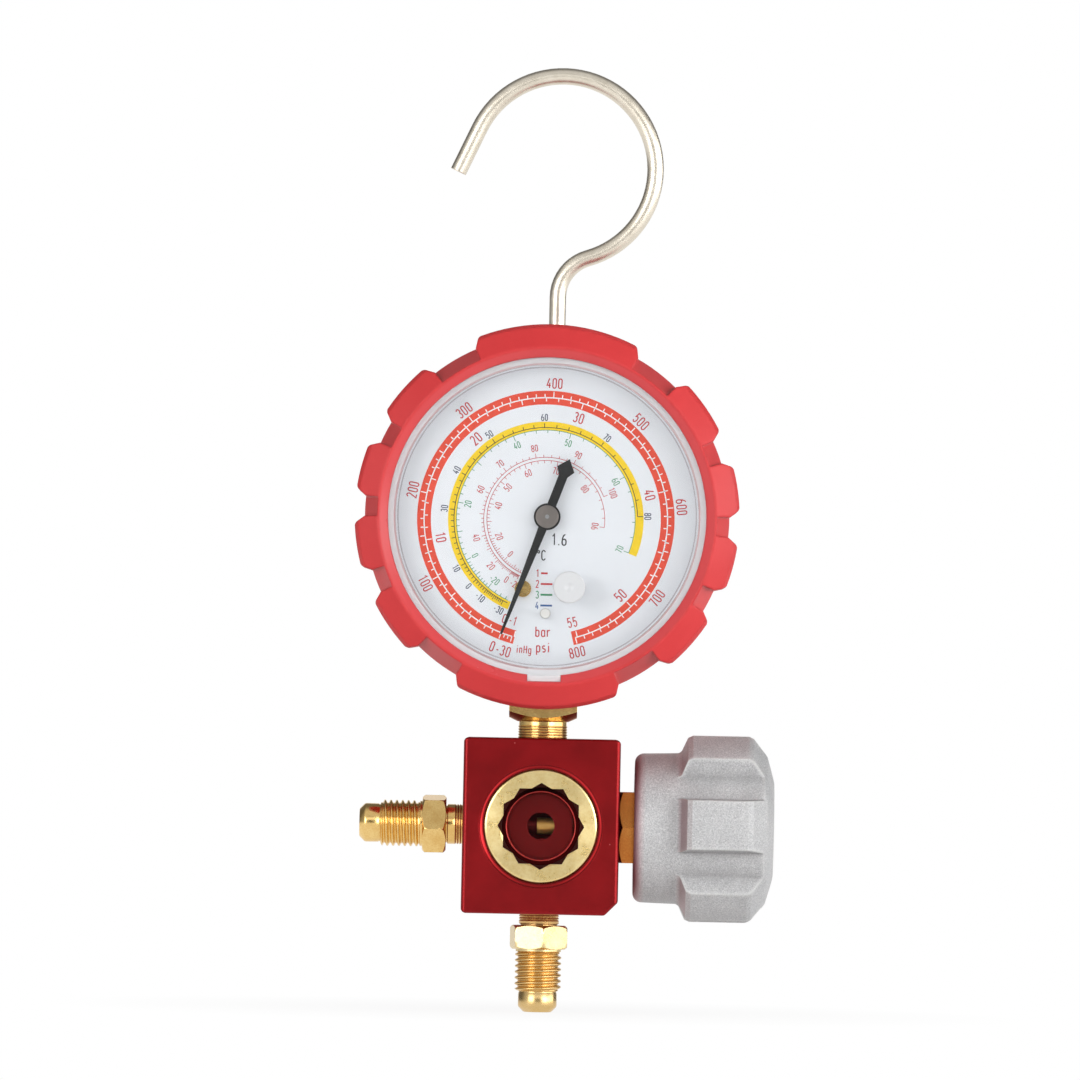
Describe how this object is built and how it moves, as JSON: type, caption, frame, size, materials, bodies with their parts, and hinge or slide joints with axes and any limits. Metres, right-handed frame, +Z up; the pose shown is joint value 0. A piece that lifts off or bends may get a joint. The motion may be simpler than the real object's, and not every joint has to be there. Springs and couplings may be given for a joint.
{
  "type": "single gauge manifold",
  "caption": "Pressure gauge in a rubber boot on a bored block with a sight glass, a hand valve with a lobed knob, male flare hose fittings and a hanging hook.",
  "frame": {"origin": "on the block's flat back face, where the gauge axis crosses the valve axis", "axes": "+Y out of the block's back face (the dial faces -Y), +Z up along the gauge axis towards the hook, +X along the valve axis towards the knob"},
  "size_m": [0.1017, 0.0458, 0.2277],
  "materials": {
    "red_anodised": "deep red anodised",
    "brass": "machined",
    "bronze": "drawn",
    "steel": "machined",
    "case_steel": "black satin",
    "hook_steel": "satin nickel plate",
    "cast_grey": "sand blasted",
    "red_rubber": "moulded satin",
    "seal_rubber": "moulded",
    "clear_lens": "clear",
    "sight_glass": "polished",
    "plug_plastic": "milky",
    "dial_white": "printed",
    "pointer_black": "matt"
  },
  "bodies": {
    "manifold": {"manifold_block": "red_anodised", "left_hose_fitting": "brass", "bottom_hose_fitting": "brass", "sight_glass_nut": "brass", "sight_gasket": "seal_rubber", "sight_glass": "sight_glass", "sight_seal": "seal_rubber", "valve_bonnet": "brass", "bonnet_seal": "seal_rubber", "gauge_socket": "brass", "gauge_case": "case_steel", "case_screws": "steel", "lens_seal": "seal_rubber", "lens": "clear_lens", "rubber_boot": "red_rubber", "dial_plate": "dial_white", "dial_posts": "steel", "stop_pin": "steel", "movement_back_plate": "brass", "movement_front_plate": "brass", "movement_pillars": "brass", "movement_screws": "steel", "bourdon_tube": "bronze", "hook_grub_screw": "steel"},
    "plunger": {"valve_plunger": "brass"},
    "handwheel": {"valve_stem": "steel", "stem_seals": "seal_rubber", "hand_knob": "cast_grey", "knob_screw": "steel", "knob_cap": "cast_grey"},
    "sector": {"sector_gear": "brass", "sector_arbor": "steel"},
    "pointer": {"pinion_arbor": "steel", "pointer_blade": "pointer_black", "pointer_hub": "steel", "hairspring": "bronze"},
    "link": {"movement_link": "brass"},
    "tube_end": {"tube_tip": "brass"},
    "hook": {"hanging_hook": "hook_steel"},
    "plug": {"lens_plug": "plug_plastic"},
    "adjuster": {"zero_screw": "brass"}
  },
  "joints": [
    {"name": "valve_lift", "type": "slide", "parent": "manifold", "child": "plunger", "axis": [1, 0, 0], "range_m": [-0.0025, 0.0025]},
    {"name": "knob_turn", "type": "hinge", "parent": "plunger", "child": "handwheel", "pos_m": [0.03, -0.0225, 0], "axis": [1, 0, 0], "range_deg": [-720, 720]},
    {"name": "sector_turn", "type": "hinge", "parent": "manifold", "child": "sector", "pos_m": [0.01157, -0.0245, 0.06021], "axis": [0, -1, 0], "range_deg": [-0.74, 40.55], "stiffness_Nm_per_rad": 0.02},
    {"name": "pointer_turn", "type": "hinge", "parent": "manifold", "child": "pointer", "pos_m": [0, -0.036, 0.074], "axis": [0, 1, 0], "range_deg": [-5.95, 324.45], "deforming": ["hairspring"]},
    {"name": "link_turn", "type": "hinge", "parent": "sector", "child": "link", "pos_m": [0.01973, -0.0228, 0.05641], "axis": [0, -1, 0], "range_deg": [-50.6, 1]},
    {"name": "tube_flex", "type": "slide", "parent": "manifold", "child": "tube_end", "axis": [0.4121, 0, 0.9112], "range_m": [-0.0001, 0.0053], "deforming": ["bourdon_tube"]},
    {"name": "hook_swivel", "type": "hinge", "parent": "manifold", "child": "hook", "pos_m": [0.0015, -0.005, 0.021], "axis": [0, 0, 1], "continuous": true},
    {"name": "lens_plug_pull", "type": "slide", "parent": "manifold", "child": "plug", "axis": [0, -1, 0], "range_m": [0, 0.006]},
    {"name": "zero_screw_turn", "type": "hinge", "parent": "manifold", "child": "adjuster", "pos_m": [-0.00545, -0.034, 0.0567], "axis": [0, -1, 0], "range_deg": [-180, 180]}
  ],
  "couplings": [
    {"joint": "valve_lift", "follows": "knob_turn", "m_per_rad": 0.00019894},
    {"joint": "pointer_turn", "follows": "sector_turn", "ratio": 8},
    {"joint": "link_turn", "follows": "sector_turn", "ratio": -1.2446},
    {"joint": "tube_flex", "follows": "sector_turn", "m_per_rad": 0.00745}
  ]
}
